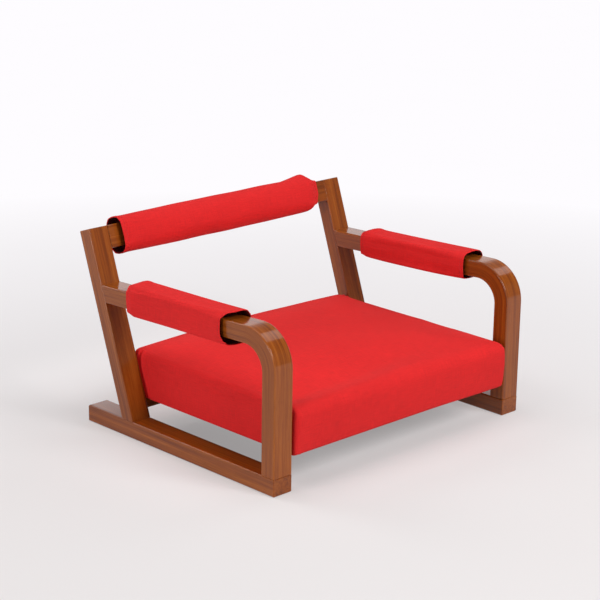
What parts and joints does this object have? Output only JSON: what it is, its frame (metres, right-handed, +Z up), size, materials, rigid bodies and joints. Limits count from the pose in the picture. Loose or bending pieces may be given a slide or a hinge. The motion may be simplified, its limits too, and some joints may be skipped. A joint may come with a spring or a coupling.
{
  "type": "legless floor chair",
  "caption": "Legless floor chair: lacquered timber side frames on floor runners, leaning back rail, thick crowned seat pad and padded sleeves on the back rail and arms.",
  "frame": {"origin": "on the floor under the middle of the whole chair", "axes": "+Z up, the sitter faces -Y, +X to the sitter's left"},
  "size_m": [0.616, 0.5022, 0.3577],
  "materials": {
    "lacquered_timber": "gloss",
    "tenon_wood": "matte",
    "softwood": "matte",
    "plywood": "matte",
    "zinc_steel": "satin",
    "foam": "matte",
    "red_cloth": "matte",
    "dust_cloth": "matte"
  },
  "bodies": {
    "root": {"arm_tenons": "tenon_wood", "back_pad": "foam", "back_sleeve": "red_cloth", "dust_cloth": "dust_cloth", "left_arm_leg": "lacquered_timber", "left_arm_pad": "foam", "left_arm_sleeve": "red_cloth", "left_back_upright": "lacquered_timber", "left_runner": "lacquered_timber", "post_tenons": "tenon_wood", "rear_rail_screws": "zinc_steel", "rear_seat_rail": "lacquered_timber", "right_arm_leg": "lacquered_timber", "right_arm_pad": "foam", "right_arm_sleeve": "red_cloth", "right_back_upright": "lacquered_timber", "right_runner": "lacquered_timber", "seat_back_rail": "softwood", "seat_coach_screws": "zinc_steel", "seat_cover": "red_cloth", "seat_deck": "plywood", "seat_foam": "foam", "seat_front_rail": "softwood", "seat_left_rail": "softwood", "seat_middle_rail": "softwood", "seat_rail_tenons": "tenon_wood", "seat_right_rail": "softwood", "seat_washers": "zinc_steel", "top_back_rail": "lacquered_timber", "top_rail_tenons": "tenon_wood", "upright_tenons": "tenon_wood"}
  },
  "joints": []
}
